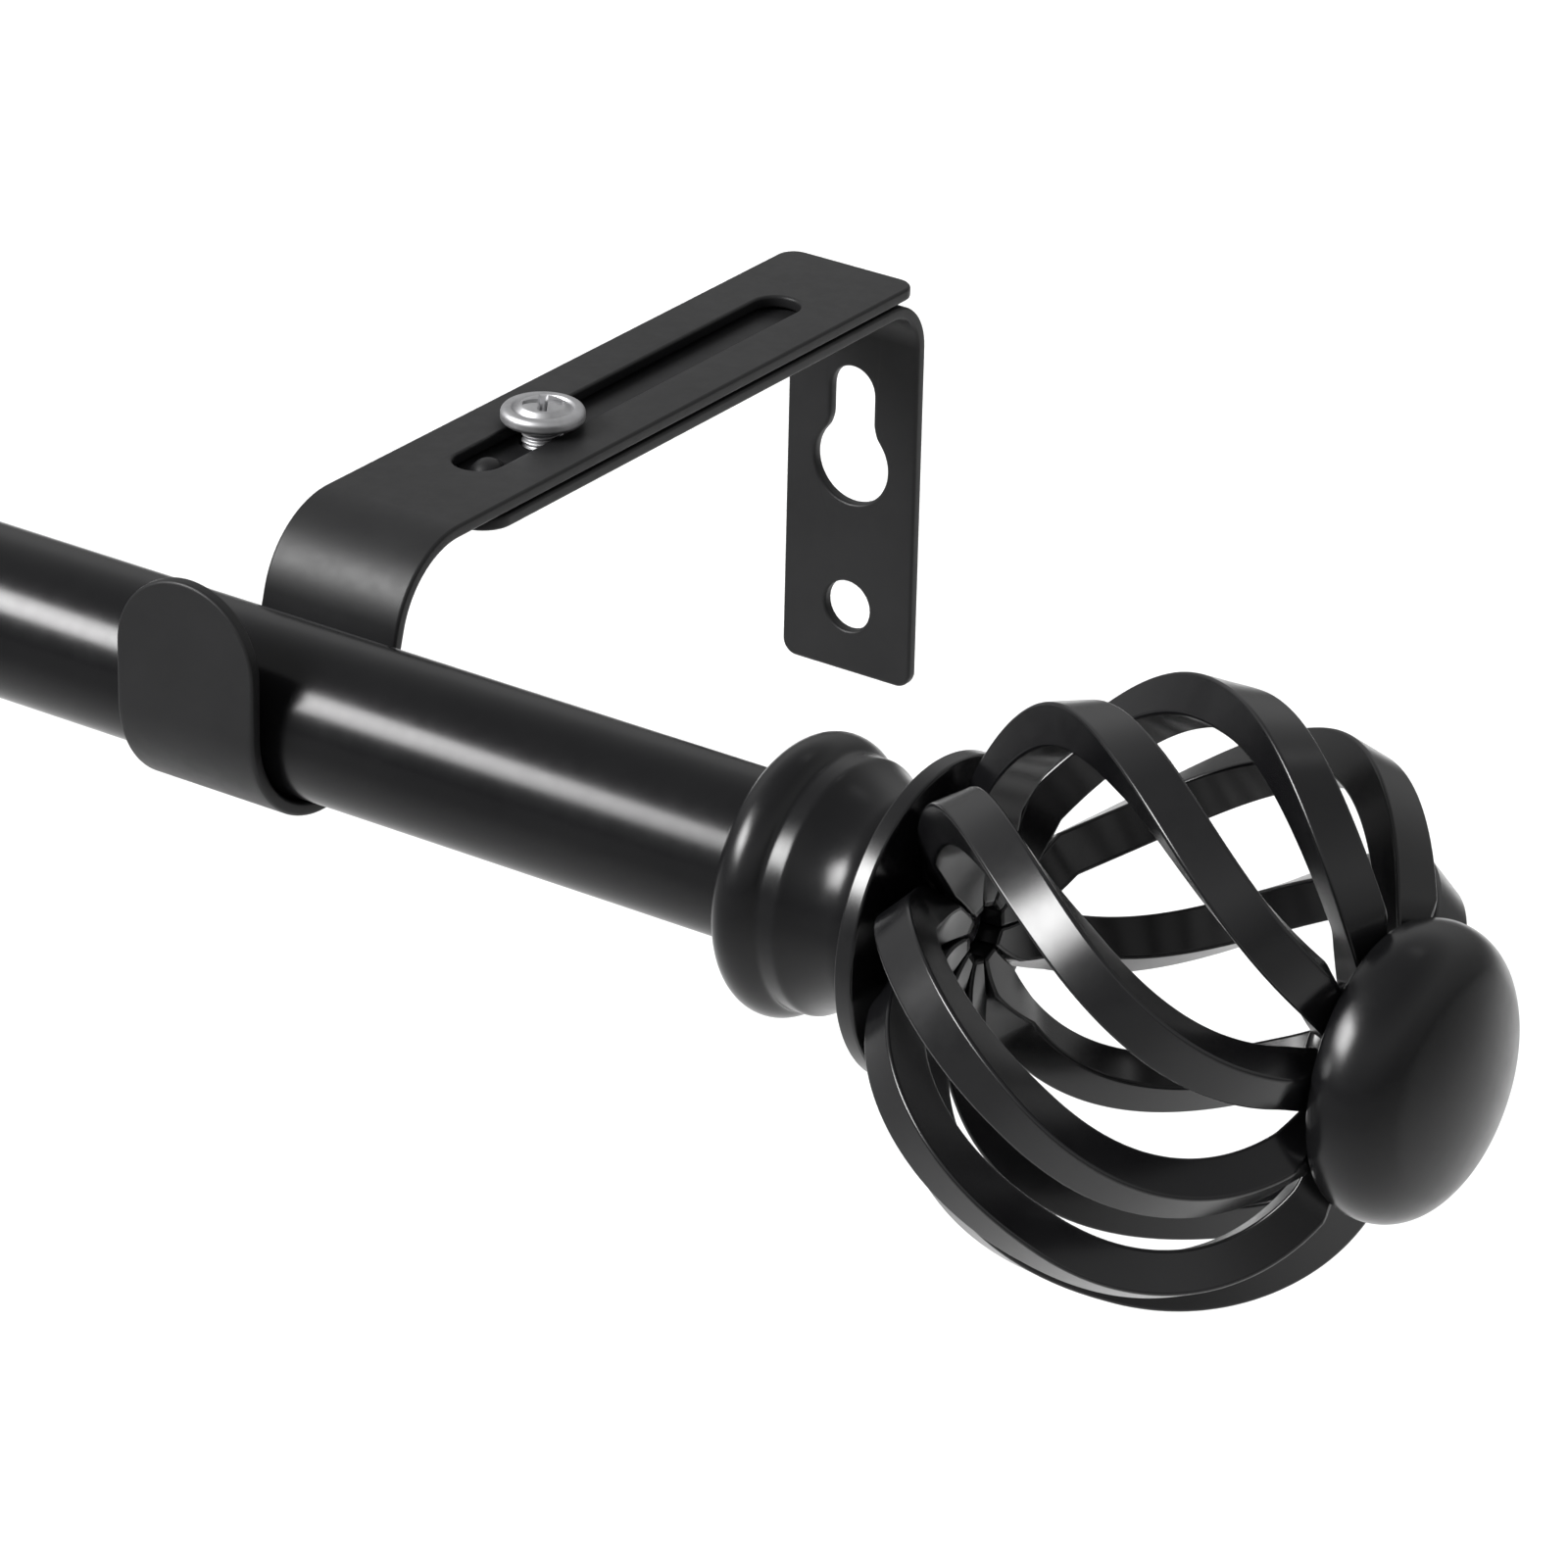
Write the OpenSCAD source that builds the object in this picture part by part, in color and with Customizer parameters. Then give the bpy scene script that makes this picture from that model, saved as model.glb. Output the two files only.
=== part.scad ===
// Adjustable curtain rod with two wall brackets and a pair of twisted cage finials.
// X runs along the rod, the wall is the plane Y = 0 and the room is at -Y, Z is up.
// The origin lies on the back face of the right wall plate, between its two fixing holes.

/* [Rod] */
// Outside diameter of the outer tube
rod_d = 19; // [18:0.5:20]
// Outside diameter of the inner tube
inner_d = 16; // [15:0.1:16]
// Wall thickness of both tubes
tube_wall = 0.8; // [0.6:0.1:0.9]
// Length of each tube
tube_len = 380; // [360:10:600]
// Length of inner tube that shows when the rod is closed
inner_show = 26; // [14:1:40]
// Distance from a bracket's middle to the end of the tube beside it
overhang = 73; // [60:1:90]

/* [Bracket] */
// Width of both flat straps
strap_w = 19; // [17:0.5:21]
// Thickness of both flat straps
strap_t = 1.6; // [1.4:0.1:2]
// Distance from the wall to the rod's axis with the arm at its stored length
reach = 118; // [112:1:140]
// Height of the arm's top face above the rod's axis
arm_rise = 14.5; // [14:0.5:17]
// Inside radius of the hook that holds the rod
hook_r = 11.4; // [11:0.1:12]
// Height of the hook's front tongue above the rod's axis
tongue_rise = 18; // [16:0.5:20]
// Forward lean of the neck, in degrees
neck_lean = 15; // [8:1:20]
// Outside radius of the arm's front bend
arm_bend_r = 12; // [10:0.5:13]
// Outside radius of the wall plate's bend
plate_bend_r = 7; // [5:0.5:8]
// Length of the slot in the arm
slot_len = 65; // [55:1:65]
// Width of the slot in the arm
slot_w = 6; // [5.8:0.1:6.5]

/* [Wall plate] */
// Height of the rod's axis above the origin
rod_z = 22.5; // [22:0.1:24]
// Distance from the origin down to the plate's lower edge
plate_drop = 17.3; // [15:0.1:20]
// Diameter of the keyhole's round part
key_d = 10.8; // [10:0.1:11.4]
// Width of the keyhole's neck
neck_w = 6.4; // [5.6:0.1:6.8]
// Diameter of the lower screw hole
hole_d = 6.6; // [5.6:0.1:7]

/* [Finial] */
// Number of bars in each cage
bar_count = 10; // [8:1:10]
// Largest outside radius of the cage
cage_r = 32.8; // [30:0.1:35]
// Width of one bar
bar_w = 4.9; // [4.5:0.1:5.4]
// Depth of one bar, from its outer to its inner face
bar_t = 4.7; // [4:0.1:5]
// Turn of a bar about the rod from the middle of the cage to either end, in degrees
half_twist = 34; // [26:1:42]
// Roll of a bar's section about its own path, from the middle of the cage to either end, in degrees
section_roll = 41; // [0:1:45]
// Outside radius of the knob
knob_r = 16; // [15:0.1:17]
// Thickness of the knob, with its dome
knob_len = 11.6; // [11.2:0.1:11.8]
// Turn of the first bar away from straight up, in degrees
first_bar = 18; // [0:1:35]

/* [Hidden] */
$fn = 96;
fit_gap = 0.05;
face_gap = 0.3;
cut = 1;

// Straight strap pieces run this far into a bend, and are this much thinner on each face, so that they fuse
lap = 0.3;
skin = 0.02;
flat_t = strap_t - 2 * skin;

// Rod
rod_r = rod_d / 2;
inner_r = inner_d / 2;
bore_r = rod_r - tube_wall;
inner_bore_r = inner_r - tube_wall;
span = 2 * (tube_len / 2 - overhang) + inner_show;
rod_right = overhang;
rod_left = rod_right - tube_len;
inner_left = rod_left - inner_show;
guide_len = 14;
plug_len = 12;
plug_lip = 1.2;
stud_r = 3;
stud_len = 10;
stud_nose = 2.5;

// Bracket
hook_z = hook_r - rod_r - face_gap;
neck_foot = [-reach + hook_r * cos(neck_lean), rod_z + hook_z - hook_r * sin(neck_lean)];
arm_top = rod_z + arm_rise;
neck_len = (arm_top - arm_bend_r * (1 - sin(neck_lean)) - neck_foot[1]) / cos(neck_lean);
neck_head = neck_foot + neck_len * [sin(neck_lean), cos(neck_lean)];
bend_y = neck_head[0] + arm_bend_r * cos(neck_lean);
arm_back = -2;
arm_corner_r = 2.5;
slot_back = -15.5;
slot_front = slot_back - slot_len;
leg_top = arm_top - strap_t - face_gap;
leg_front = -88;
leg_corner_r = 4;
plate_corner_r = 2;
key_z = rod_z - 11.75;
shoulder_z = key_z + 5.5;
shoulder_w = 7.4;
shoulder_low = 3.9;
key_top = rod_z + 1;
hole_z = rod_z - 31;
nub_y = slot_front + 4.9;
nub_r = 2.3;
nub_rise = 1.4;

// Adjusting screw
screw_y = slot_front + 15.3;
screw_r = 2.5;
screw_len = 6.1;
boss_r = 4;
boss_drop = 1.3;
head_r = 4.95;
head_h = 2.4;
head_edge = 0.9;
head_gap = 0.8;
recess_l = 5;
recess_w = 1.1;
recess_h = 1.5;

// Finial, measured along the rod from the end of the tube
collar_len = 16.9;
socket_len = 1.6;
hub_r = 18;
hub_t = 2.2;
cage_back = 28.9;
cage_front = 26;
cage_mid = collar_len + hub_t + cage_back;
back_power = 2.3;
front_power = 2.15;
petal_r = 3.1;
bar_end_r = 10.2;
cap_r = 8.9;
full_roll_r = 16;
bar_steps = 34;
petal_fill = 0.9;
knob_start = cage_mid + 24;
knob_rim = 6.2;
knob_seat = 3.4;
dome_r = 33;
dome_edge = 12.5;

bar_names = [for (i = [1 : bar_count]) str(i)];

// ---------- placing helpers ----------

// Puts a shape drawn about the right bracket's middle on both brackets
module at_left_bracket() { translate([-span, 0, 0]) children(); }

// Turns a shape drawn up +Z into one that lies along +X on the rod's axis
module along_rod(x) { translate([x, -reach, rod_z]) rotate([0, 90, 0]) children(); }

// Finial frame: +Z runs outward along the rod from the end of the tube
module finial_right() { along_rod(rod_right) children(); }
module finial_left() { translate([inner_left, -reach, rod_z]) rotate([0, 90, 180]) children(); }

module ring(outer, inner, length) {
    difference() {
        cylinder(r = outer, h = length);
        translate([0, 0, -cut]) cylinder(r = inner, h = length + 2 * cut);
    }
}

// ---------- flat strap pieces, drawn in the Y-Z plane and centred on X = 0 ----------

// Straight strap that starts at a Y-Z point, runs at an angle above +Y, with its thickness to the left
module strap_flat(start, angle, length) {
    translate([skin - strap_w / 2, start[0], start[1]]) rotate([angle, 0, 0])
        cube([strap_w - 2 * skin, length, flat_t]);
}

// Bent strap about a Y-Z centre, from one angle to another, measured from +Y towards +Z
module strap_bend(centre, inner, from, to) {
    translate([-strap_w / 2, centre[0], centre[1]]) rotate([90, 0, 90])
        rotate([0, 0, from]) rotate_extrude(angle = to - from)
            translate([inner, 0]) square([strap_t, strap_w]);
}

// Rounds the two corners of a flat strap end, as a tool to intersect with, seen along its thickness
module round_end(width, length, radius) {
    translate([-width / 2, 0]) square([width, length - radius]);
    translate([-width / 2 + radius, 0]) square([width - 2 * radius, length]);
    for (x = [-1, 1]) translate([x * (width / 2 - radius), length - radius]) circle(r = radius);
}

// ---------- bracket ----------

module wall_plate() {
    leg_back = -plate_bend_r;
    color([0.09, 0.09, 0.1]) {
        difference() {
            union() {
                // Leg under the arm, with its rounded front end
                translate([0, leg_back, leg_top - strap_t]) mirror([0, 1, 0]) linear_extrude(strap_t)
                    round_end(strap_w, leg_back - leg_front, leg_corner_r);
                strap_bend([leg_back, leg_top - plate_bend_r], plate_bend_r - strap_t, 0, 90);
                // Leg on the wall
                translate([0, 0, leg_top - plate_bend_r]) rotate([90, 0, 0]) mirror([0, 1, 0])
                    linear_extrude(strap_t)
                        round_end(strap_w, leg_top - plate_bend_r + plate_drop, plate_corner_r);
                // Boss that gives the adjusting screw its thread
                translate([0, screw_y, leg_top - strap_t - boss_drop]) cylinder(r = boss_r, h = boss_drop);
                // Stamped nub that keeps the arm straight in its slot
                translate([0, nub_y, leg_top]) cylinder(r = nub_r, h = nub_rise - nub_r / 3);
                intersection() {
                    translate([0, nub_y, leg_top - nub_r + nub_rise]) sphere(r = nub_r);
                    translate([0, nub_y, leg_top]) cylinder(r = nub_r, h = 2 * nub_rise);
                }
            }
            translate([0, screw_y, leg_top - strap_t - boss_drop - cut])
                cylinder(r = screw_r, h = strap_t + boss_drop + 2 * cut);
            keyhole();
            wall_hole(hole_z, hole_d / 2);
        }
    }
}

module wall_hole(z, radius) {
    translate([0, cut, z]) rotate([90, 0, 0]) cylinder(r = radius, h = strap_t + 2 * cut);
}

module keyhole() {
    wall_hole(key_z, key_d / 2);
    translate([0, cut, 0]) rotate([90, 0, 0]) linear_extrude(strap_t + 2 * cut)
        polygon([[-shoulder_w / 2, key_z + shoulder_low], [shoulder_w / 2, key_z + shoulder_low],
                 [neck_w / 2, shoulder_z], [-neck_w / 2, shoulder_z]]);
    wall_hole(key_top - neck_w / 2, neck_w / 2);
    translate([-neck_w / 2, -strap_t - cut, key_z]) cube([neck_w, strap_t + 2 * cut, key_top - neck_w / 2 - key_z]);
}

module arm() {
    hook_centre = [-reach, rod_z + hook_z];
    flat_len = arm_back - bend_y;
    color([0.1, 0.1, 0.11]) {
        difference() {
            translate([0, bend_y - lap, arm_top - strap_t + skin]) linear_extrude(flat_t)
                round_end(strap_w, flat_len + lap, arm_corner_r);
            for (y = [slot_front + slot_w / 2, slot_back - slot_w / 2])
                translate([0, y, arm_top - strap_t - cut]) cylinder(r = slot_w / 2, h = strap_t + 2 * cut);
            translate([-slot_w / 2, slot_front + slot_w / 2, arm_top - strap_t - cut])
                cube([slot_w, slot_len - slot_w, strap_t + 2 * cut]);
        }
        strap_bend([bend_y, arm_top - arm_bend_r], arm_bend_r - strap_t, 90, 180 - neck_lean);
        // Neck, whose front face is tangent to the bend and to the hook
        strap_flat(neck_foot + (strap_t - skin) * [cos(neck_lean), -sin(neck_lean)]
                   - lap * [sin(neck_lean), cos(neck_lean)], 90 - neck_lean, neck_len + 2 * lap);
        strap_bend(hook_centre, hook_r, -180, -neck_lean);
        tongue(hook_centre);
    }
}

// Front of the hook, which ends in a half circle
module tongue(hook_centre) {
    straight = tongue_rise - hook_z + lap - strap_w / 2;
    translate([0, hook_centre[0] - hook_r - skin, hook_centre[1] - lap]) rotate([90, 0, 0])
        linear_extrude(flat_t) {
            translate([-strap_w / 2, 0]) square([strap_w, straight]);
            translate([0, straight]) circle(r = strap_w / 2);
        }
}

module adjusting_screw() {
    head_z = arm_top + head_gap;
    cap_r = (head_r * head_r + pow(head_h - head_edge, 2)) / (2 * (head_h - head_edge));
    color([0.75, 0.75, 0.77]) translate([0, screw_y, head_z]) difference() {
        union() {
            cylinder(r = head_r, h = head_edge);
            intersection() {
                translate([0, 0, head_h - cap_r]) sphere(r = cap_r);
                cylinder(r = head_r, h = head_h);
            }
            translate([0, 0, -screw_len]) cylinder(r = screw_r - fit_gap, h = screw_len);
        }
        for (a = [0, 90]) rotate(a)
            translate([-recess_l / 2, -recess_w / 2, head_h - recess_h]) cube([recess_l, recess_w, head_h]);
    }
}

// ---------- rod ----------

module outer_tube() { color([0.06, 0.06, 0.07]) along_rod(rod_left) ring(rod_r, bore_r, tube_len); }

module inner_tube() { color([0.07, 0.07, 0.08]) along_rod(inner_left) ring(inner_r, inner_bore_r, tube_len); }

// Plastic bush fixed in the outer tube's open end
module mouth_bush() {
    color([0.12, 0.12, 0.12]) along_rod(rod_left) ring(bore_r, inner_r + fit_gap, guide_len);
}

// Plastic guide fixed on the inner tube's hidden end
module sliding_guide() {
    x = inner_left + tube_len;
    color([0.85, 0.85, 0.82]) along_rod(x) {
        cylinder(r = bore_r - fit_gap, h = plug_lip);
        translate([0, 0, -guide_len + plug_lip]) cylinder(r = inner_bore_r, h = guide_len - plug_lip);
    }
}

// Plastic plug pressed into a tube's end, tapped for the finial's stud
module end_plug(radius) {
    color([0.85, 0.85, 0.82]) difference() {
        translate([0, 0, -plug_len]) cylinder(r = radius, h = plug_len);
        translate([0, 0, -plug_len - cut]) cylinder(r = stud_r + fit_gap, h = plug_len + 2 * cut);
    }
}

// ---------- finial ----------

// Turned collar: a large bead over the end of the tube, a flat ring, a long hollow and a small bead
module collar(socket_r) {
    bead_r = 3.3;
    bead_crest = 15.7;
    ring_r = 14.2;
    ring_start = 3;
    small_bead_r = 4;
    small_bead_z = 12.2;
    waist_r = 12.4;
    hollow_r = 9.3;
    color([0.08, 0.08, 0.09]) rotate_extrude() difference() {
        union() {
            translate([0, -socket_len]) square([11, 4]);
            square([9, collar_len]);
            translate([bead_crest - bead_r, bead_r - socket_len - 0.2]) circle(r = bead_r);
            difference() {
                translate([0, ring_start]) square([ring_r, small_bead_z - ring_start]);
                translate([waist_r + hollow_r, small_bead_z]) circle(r = hollow_r);
            }
            translate([waist_r - small_bead_r + 0.05, small_bead_z]) circle(r = small_bead_r);
            translate([0, 14]) square([10.5, 2.6]);
        }
        translate([0, -socket_len - cut]) square([socket_r, socket_len + cut]);
        translate([0, -cut]) square([stud_r + fit_gap, collar_len + 2 * cut]);
    }
}

// Threaded stud that screws the finial into the tube's plug
module stud() {
    color([0.7, 0.7, 0.72]) translate([0, 0, -stud_len])
        cylinder(r = stud_r, h = stud_len + collar_len + hub_t + stud_nose);
}

// Disc that the bars' inner ends are fixed on
module cage_hub() {
    color([0.07, 0.07, 0.08]) translate([0, 0, collar_len]) ring(hub_r, stud_r + fit_gap, hub_t);
}

// Round boss that the bars' outer ends meet, under the knob
module cage_cap() {
    color([0.07, 0.07, 0.08]) translate([0, 0, knob_start - bar_t]) cylinder(r = cap_r, h = bar_t);
}

module knob() {
    color([0.06, 0.06, 0.07]) translate([0, 0, knob_start]) rotate_extrude() {
        square([knob_r - knob_rim, knob_seat + knob_rim]);
        intersection() {
            translate([knob_r - knob_rim, knob_seat]) circle(r = knob_rim);
            square([2 * knob_r, knob_len]);
        }
        intersection() {
            translate([0, knob_len - dome_r]) circle(r = dome_r);
            translate([0, knob_seat]) square([dome_edge, knob_len]);
        }
    }
}

// ---------- cage bars ----------

// Outer profile of the cage at an angle from its inner pole, as [radius, distance along the axis]
function profile(angle) =
    let (c = cos(angle), s = sin(angle),
         power = c > 0 ? back_power : front_power,
         size = pow(pow(abs(c), power) + pow(abs(s), power), -1 / power))
    [cage_r * size * s, -(c > 0 ? cage_back : cage_front) * size * c];

// Angle on the profile where its radius reaches a value, found by halving the interval
function angle_at(radius, low, high, tries = 24) =
    let (middle = (low + high) / 2)
    tries == 0 ? middle
    : (profile(middle)[0] < radius) == (profile(low)[0] < radius)
        ? angle_at(radius, middle, high, tries - 1)
        : angle_at(radius, low, middle, tries - 1);

first_angle = angle_at(petal_r, 1, 80);
last_angle = angle_at(bar_end_r, 179, 100);

function unit(v) = v / norm(v);

// Turn about the axis at a distance along it
function turn_at(along) = half_twist * along / cage_back;

// Point on the outer face's middle line
function spine(angle) =
    let (p = profile(angle), turn = turn_at(p[1]))
    [p[0] * cos(turn), p[0] * sin(turn), p[1]];

// Outward normal of the cage's outer surface at that point
function outward(angle) =
    let (step = 0.05, a = profile(angle - step), b = profile(angle + step),
         slope = unit(b - a), turn = turn_at(profile(angle)[1]))
    [slope[1] * cos(turn), slope[1] * sin(turn), -slope[0]];

// Keeps a point of a bar behind the knob's flat back
function under_knob(p) = [p[0], p[1], min(p[2], knob_start - cage_mid)];

// Four corners of the bar's section, narrower and less rolled near the poles so that neighbours stay apart
function section(angle) =
    let (step = 0.05, p = spine(angle), n = outward(angle),
         along = unit(spine(angle + step) - spine(angle - step)),
         flat = unit(cross(along, n)),
         radius = profile(angle)[0],
         roll = -section_roll * p[2] / cage_back * min(1, pow(radius / full_roll_r, 2)),
         side = flat * cos(roll) + n * sin(roll),
         depth = bar_t * (n * cos(roll) - flat * sin(roll)),
         room = 2 * radius * sin(180 / bar_count) * petal_fill,
         half = min(bar_w, room) / 2)
    [for (corner = [half * side, -half * side, -half * side - depth, half * side - depth]) under_knob(p + corner)];

module cage_bar(index) {
    rings = [for (i = [0 : bar_steps]) section(first_angle + (last_angle - first_angle) * i / bar_steps)];
    points = [for (r = rings, p = r) p];
    sides = [for (i = [0 : bar_steps - 1], j = [0 : 3])
        let (a = 4 * i + j, b = 4 * i + (j + 1) % 4) each [[a, b, b + 4], [a, b + 4, a + 4]]];
    last = 4 * bar_steps;
    ends = [[3, 2, 1], [3, 1, 0], [last, last + 1, last + 2], [last, last + 2, last + 3]];
    color([0.08, 0.08, 0.09]) translate([0, 0, cage_mid]) rotate(first_bar + index * 360 / bar_count)
        polyhedron(points, concat(sides, ends));
}

// ---------- nodes ----------

wall_plate();  // wall_plate_right
at_left_bracket() wall_plate();  // wall_plate_left
arm();  // arm_right
at_left_bracket() arm();  // arm_left
adjusting_screw();  // adjusting_screw_right
at_left_bracket() adjusting_screw();  // adjusting_screw_left
outer_tube();
inner_tube();
mouth_bush();
sliding_guide();
finial_right() end_plug(bore_r);  // end_plug_right
finial_left() end_plug(inner_bore_r);  // end_plug_left
finial_right() collar(rod_r);  // collar_right
finial_left() collar(inner_r);  // collar_left
finial_right() stud();  // stud_right
finial_left() stud();  // stud_left
finial_right() cage_hub();  // cage_hub_right
finial_left() cage_hub();  // cage_hub_left
finial_right() cage_cap();  // cage_cap_right
finial_left() cage_cap();  // cage_cap_left
finial_right() knob();  // knob_right
finial_left() knob();  // knob_left
for (i = [0 : bar_count - 1]) {
    finial_right() cage_bar(i);
    finial_left() cage_bar(i);
}
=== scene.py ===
import math

import bmesh
import bpy
import numpy as np
from mathutils import Matrix, Vector


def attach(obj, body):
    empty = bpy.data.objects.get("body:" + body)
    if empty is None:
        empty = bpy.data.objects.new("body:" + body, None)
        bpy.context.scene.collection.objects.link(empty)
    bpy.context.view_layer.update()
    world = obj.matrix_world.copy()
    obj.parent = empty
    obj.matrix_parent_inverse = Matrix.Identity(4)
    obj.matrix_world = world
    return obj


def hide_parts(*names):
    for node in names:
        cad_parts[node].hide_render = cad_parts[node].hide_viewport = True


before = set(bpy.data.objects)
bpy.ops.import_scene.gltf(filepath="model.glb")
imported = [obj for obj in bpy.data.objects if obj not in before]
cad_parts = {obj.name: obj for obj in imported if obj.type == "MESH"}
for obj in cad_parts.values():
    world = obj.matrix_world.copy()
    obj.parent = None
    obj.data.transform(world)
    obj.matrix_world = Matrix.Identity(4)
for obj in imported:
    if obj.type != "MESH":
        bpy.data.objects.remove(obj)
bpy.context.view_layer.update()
MM = 0.001

# ---------- sizes of the part, in millimetres, in the part's frame ----------

ROD_Y, ROD_Z = -118.0, 22.5
SPAN = 260.0
BRACKETS = {"right": 0.0, "left": -SPAN}
ROD_RIGHT, ROD_LEFT, INNER_LEFT = 73.0, -307.0, -333.0
TUBE_LEN = 380.0
ROD_R, INNER_R, TUBE_WALL = 9.5, 8.0, 0.8
FIT = 0.05

BUSH_LEN, GUIDE_LIP, GUIDE_LEN, PLUG_LEN = 14.0, 1.2, 12.8, 12.0

STRAP_W, STRAP_T, STRAP_EDGE = 19.0, 1.6, 0.4
ARM_TOP, ARM_BEND_R, ARM_BACK_Y = 37.0, 12.0, -2.0
HOOK_R, HOOK_Z, TONGUE_TOP = 11.4, 24.1, 40.5
NECK_LEAN = math.radians(15)
SLOT_FRONT_Y, SLOT_BACK_Y, SLOT_W = -80.5, -15.5, 6.0
ARM_CORNER_R = 2.5
LEG_TOP, LEG_FRONT_Y, LEG_CORNER_R = 35.1, -88.0, 4.0
PLATE_BEND_R, PLATE_LOW, PLATE_CORNER_R = 7.0, -17.3, 2.0
KEY_Z, KEY_R, KEY_NECK_R, KEY_NECK_Z = 10.75, 5.4, 3.2, 20.3
SHOULDER_HIGH, SHOULDER_W = 5.5, 7.4
HOLE_Z, HOLE_R = -8.5, 3.3
SCREW_Y, SCREW_R = -65.2, 2.45
BOSS_R, BOSS_DROP, BOSS_FILLET, BOSS_EDGE = 4.0, 1.3, 0.5, 0.3
NUB_Y, NUB_R, NUB_RISE, NUB_FILLET = -75.6, 2.3, 1.4, 0.5

HEAD_Z, HEAD_R, HEAD_H, HEAD_ROUND = 37.8, 4.95, 2.4, 0.8
SCREW_LEN, SCREW_PITCH = 6.1, 0.8
RECESS_L, RECESS_W, RECESS_H, RECESS_TURN = 5.4, 1.2, 2.1, 34
RECESS_TAPER_L, RECESS_TAPER_W = 0.62, 0.7

COLLAR_LEN, SOCKET_LEN, HUB_T, HUB_R = 16.9, 1.6, 2.2, 18.0
SLEEVE_R, SLEEVE_END, BEAD_R, BEAD_CREST, BEAD_Z = 11.0, 2.4, 3.3, 15.7, 1.5
RING_START, RING_R = 3.0, 14.2
HOLLOW_R, WAIST_R, SMALL_BEAD_R, SMALL_BEAD_Z = 9.3, 12.4, 4.0, 12.2
SHOULDER_R, SHOULDER_START, SPIGOT_R, SPIGOT_START = 10.5, 14.0, 9.0, 16.6
HUB_EDGE = 0.35
STUD_R, STUD_LEN, STUD_NOSE, STUD_PITCH = 3.0, 10.0, 2.5, 1.0
CAGE_R, CAGE_BACK, CAGE_FRONT = 32.8, 28.9, 26.0
BACK_POWER, FRONT_POWER = 2.3, 2.15
CAGE_MID = COLLAR_LEN + HUB_T + CAGE_BACK
PETAL_R, BAR_END_R, FULL_ROLL_R = 3.1, 10.2, 16.0
CAP_R, CAP_EDGE = 8.9, 1.2
KNOB_BACK = 24.0
KNOB_START = CAGE_MID + KNOB_BACK
BAR_W, BAR_T, BAR_EDGE = 4.9, 4.7, 0.4
BAR_COUNT, FIRST_BAR = 10, 18.0
HALF_TWIST, SECTION_ROLL, PETAL_FILL = 34.0, 41.0, 0.9
KNOB_R, KNOB_LEN, KNOB_RIM, KNOB_SEAT = 16.0, 11.6, 6.2, 3.4
DOME_R, DOME_EDGE = 33.0, 12.5


# ---------- materials ----------

def new_material(name):
    mat = bpy.data.materials.new(name)
    mat.use_nodes = True
    nodes = mat.node_tree.nodes
    nodes.clear()
    out = nodes.new("ShaderNodeOutputMaterial")
    bsdf = nodes.new("ShaderNodeBsdfPrincipled")
    mat.node_tree.links.new(bsdf.outputs["BSDF"], out.inputs["Surface"])
    coord = nodes.new("ShaderNodeTexCoord")
    return mat, nodes, mat.node_tree.links, bsdf, coord


def noise(nodes, links, coord, scale, detail=2.0, roughness=0.5, stretch=(1, 1, 1)):
    """Noise in the piece's own space, with its scale in features per metre."""
    mapping = nodes.new("ShaderNodeMapping")
    mapping.inputs["Scale"].default_value = stretch
    links.new(coord.outputs["Object"], mapping.inputs["Vector"])
    tex = nodes.new("ShaderNodeTexNoise")
    tex.inputs["Scale"].default_value = scale
    tex.inputs["Detail"].default_value = detail
    tex.inputs["Roughness"].default_value = roughness
    links.new(mapping.outputs["Vector"], tex.inputs["Vector"])
    return tex.outputs["Fac"]


def ramp(nodes, links, value, low, high, start=0.35, end=0.65):
    """Maps a noise value to a number between low and high."""
    node = nodes.new("ShaderNodeMapRange")
    node.inputs["From Min"].default_value = start
    node.inputs["From Max"].default_value = end
    node.inputs["To Min"].default_value = low
    node.inputs["To Max"].default_value = high
    links.new(value, node.inputs["Value"])
    return node.outputs["Result"]


def colours(nodes, links, value, low, high):
    mix = nodes.new("ShaderNodeMix")
    mix.data_type = "RGBA"
    mix.inputs["A"].default_value = (*low, 1)
    mix.inputs["B"].default_value = (*high, 1)
    links.new(value, mix.inputs["Factor"])
    return mix.outputs["Result"]


def bump(nodes, links, bsdf, height, depth):
    """Adds bumps from a height output; depth is in metres."""
    node = nodes.new("ShaderNodeBump")
    node.inputs["Strength"].default_value = 1.0
    node.inputs["Distance"].default_value = depth
    links.new(height, node.inputs["Height"])
    links.new(node.outputs["Normal"], bsdf.inputs["Normal"])


def painted_gap_shade(nodes, links, reach, dark):
    """A factor that is 1 on open faces and falls to dark in gaps, where it dims the reflection as painted
    shade.
    """
    node = nodes.new("ShaderNodeAmbientOcclusion")
    node.samples = 16
    node.inputs["Distance"].default_value = reach
    return ramp(nodes, links, node.outputs["AO"], dark, 1.0, 0.45, 0.95)


def times(nodes, links, value, factor):
    """Product of a value and a factor, which is a number or another value."""
    node = nodes.new("ShaderNodeMath")
    node.operation = "MULTIPLY"
    links.new(value, node.inputs[0])
    if isinstance(factor, float):
        node.inputs[1].default_value = factor
    else:
        links.new(factor, node.inputs[1])
    return node.outputs["Value"]


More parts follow.
